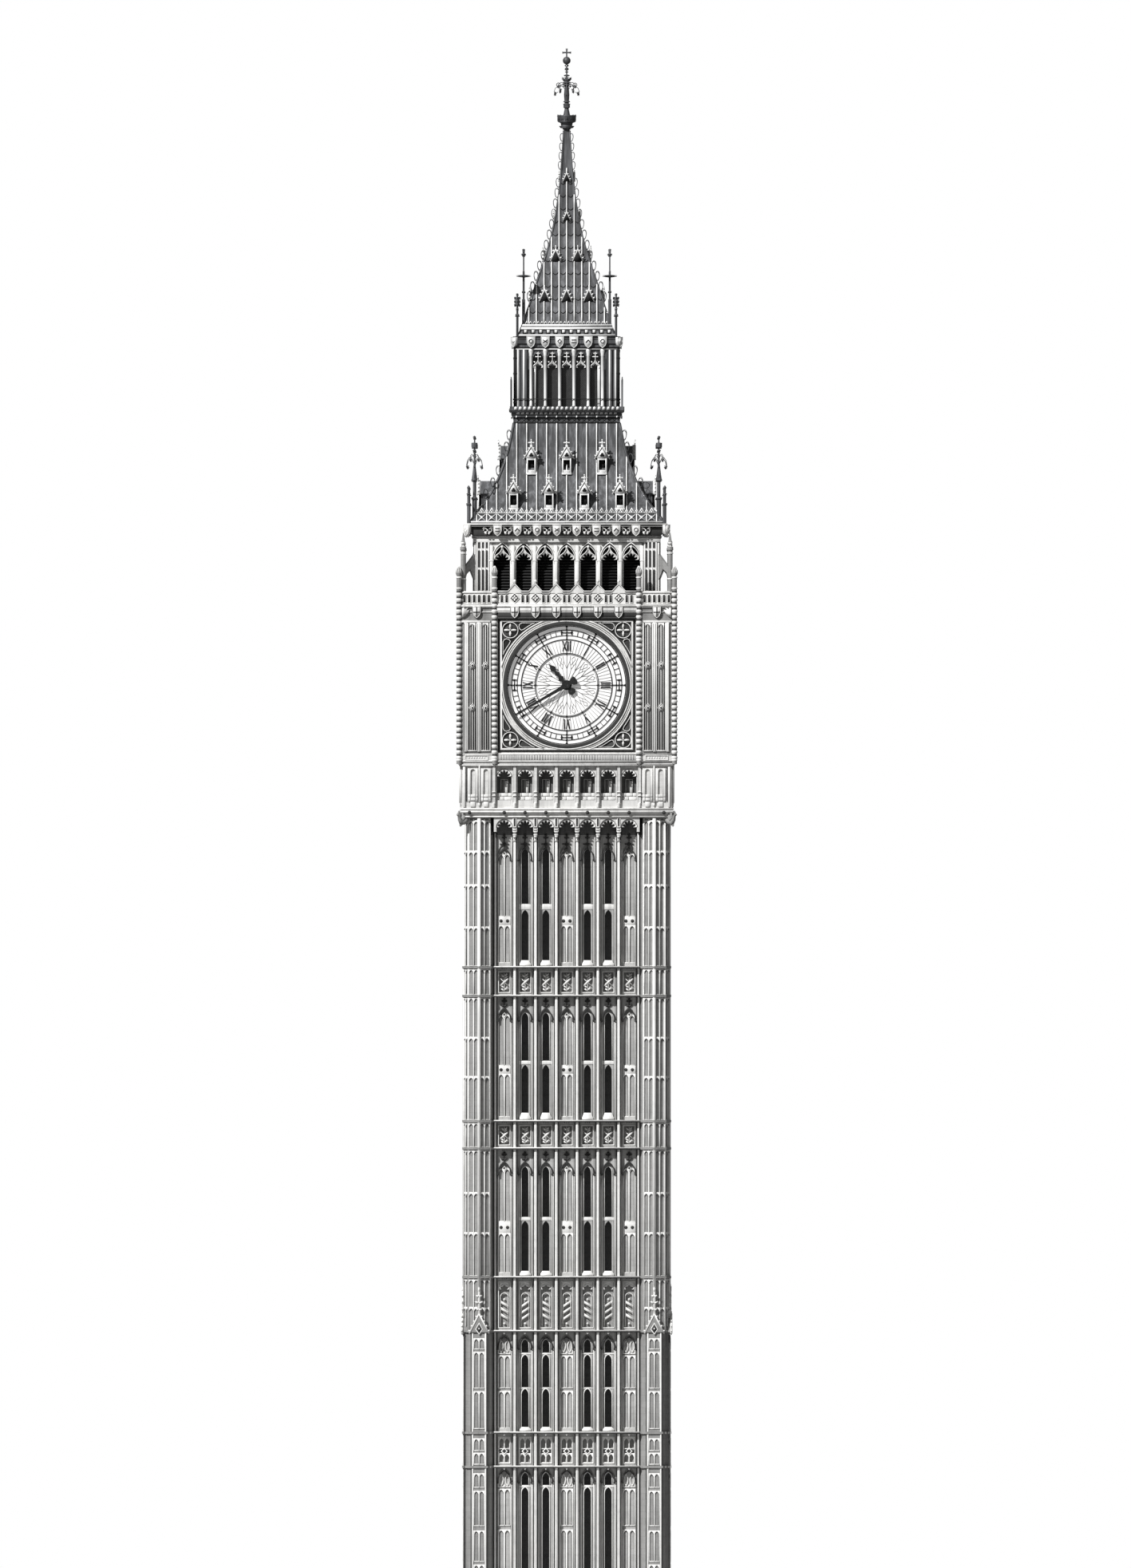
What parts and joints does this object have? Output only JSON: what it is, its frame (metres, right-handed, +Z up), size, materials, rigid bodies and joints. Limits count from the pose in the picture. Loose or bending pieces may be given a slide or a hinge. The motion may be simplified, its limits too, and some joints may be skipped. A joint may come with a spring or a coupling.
{
  "type": "one-tenth scale model of a clock tower",
  "caption": "Tall square Gothic clock tower with corner turrets, four round dials with turning hands, an open belfry and a two-stage roof with lantern and spire.",
  "frame": {"origin": "centre of the plan, on the ground", "axes": "+Z up, -Y out of the front face, +X to the right of someone who looks at the front"},
  "size_m": [1.302, 1.302, 9.595],
  "materials": {
    "stone": "weathered limestone",
    "brick": "rough",
    "roof_iron": "painted cast iron",
    "dial_iron": "painted cast iron",
    "dark_boards": "black louvre boards",
    "opal_glass": "opal",
    "window_glass": "dark leaded",
    "hands": "black paint"
  },
  "bodies": {
    "tower": {"front_wall": "stone", "right_wall": "stone", "back_wall": "stone", "left_wall": "stone", "turret_front_right": "stone", "turret_back_right": "stone", "turret_back_left": "stone", "turret_front_left": "stone", "window_glass": "window_glass", "storey_floors": "brick", "corbel_arcade": "stone", "shaft_cornice": "stone", "arcade_storey": "stone", "clock_base_course": "stone", "clock_piers": "stone", "clock_walls": "stone", "dial_glass": "opal_glass", "dial_frames": "dial_iron", "clock_cornice": "stone", "clock_parapet": "stone", "belfry_piers": "stone", "belfry_mullions": "stone", "belfry_arches": "stone", "belfry_louvres": "dark_boards", "belfry_pinnacles": "stone", "belfry_cornice": "stone", "belfry_roof": "roof_iron", "roof_dormers": "roof_iron", "roof_finials": "roof_iron", "lantern_gallery": "roof_iron", "lantern_posts": "roof_iron", "lantern_arches": "roof_iron", "lantern_glass": "window_glass", "lantern_cornice": "roof_iron", "spire_roof": "roof_iron", "spire_lucarnes": "roof_iron", "spire_cross": "roof_iron"},
    "minute_hand_front": {"minute_hand_front": "hands"},
    "minute_hand_right": {"minute_hand_right": "hands"},
    "minute_hand_back": {"minute_hand_back": "hands"},
    "minute_hand_left": {"minute_hand_left": "hands"},
    "hour_hand_front": {"hour_hand_front": "hands"},
    "hour_hand_right": {"hour_hand_right": "hands"},
    "hour_hand_back": {"hour_hand_back": "hands"},
    "hour_hand_left": {"hour_hand_left": "hands"}
  },
  "joints": [
    {"name": "minute_spin_front", "type": "hinge", "parent": "tower", "child": "minute_hand_front", "pos_m": [0, -0.612, 5.854], "axis": [0, 1, 0], "continuous": true},
    {"name": "minute_spin_right", "type": "hinge", "parent": "tower", "child": "minute_hand_right", "pos_m": [0.612, 0, 5.854], "axis": [-1, 0, 0], "continuous": true},
    {"name": "minute_spin_back", "type": "hinge", "parent": "tower", "child": "minute_hand_back", "pos_m": [0, 0.612, 5.854], "axis": [0, -1, 0], "continuous": true},
    {"name": "minute_spin_left", "type": "hinge", "parent": "tower", "child": "minute_hand_left", "pos_m": [-0.612, 0, 5.854], "axis": [1, 0, 0], "continuous": true},
    {"name": "hour_spin_front", "type": "hinge", "parent": "tower", "child": "hour_hand_front", "pos_m": [0, -0.612, 5.854], "axis": [0, 1, 0], "continuous": true},
    {"name": "hour_spin_right", "type": "hinge", "parent": "tower", "child": "hour_hand_right", "pos_m": [0.612, 0, 5.854], "axis": [-1, 0, 0], "continuous": true},
    {"name": "hour_spin_back", "type": "hinge", "parent": "tower", "child": "hour_hand_back", "pos_m": [0, 0.612, 5.854], "axis": [0, -1, 0], "continuous": true},
    {"name": "hour_spin_left", "type": "hinge", "parent": "tower", "child": "hour_hand_left", "pos_m": [-0.612, 0, 5.854], "axis": [1, 0, 0], "continuous": true}
  ],
  "couplings": [
    {"joint": "minute_spin_right", "follows": "minute_spin_front", "ratio": 1},
    {"joint": "minute_spin_back", "follows": "minute_spin_front", "ratio": 1},
    {"joint": "minute_spin_left", "follows": "minute_spin_front", "ratio": 1},
    {"joint": "hour_spin_front", "follows": "minute_spin_front", "ratio": 0.083333},
    {"joint": "hour_spin_right", "follows": "minute_spin_front", "ratio": 0.083333},
    {"joint": "hour_spin_back", "follows": "minute_spin_front", "ratio": 0.083333},
    {"joint": "hour_spin_left", "follows": "minute_spin_front", "ratio": 0.083333}
  ]
}
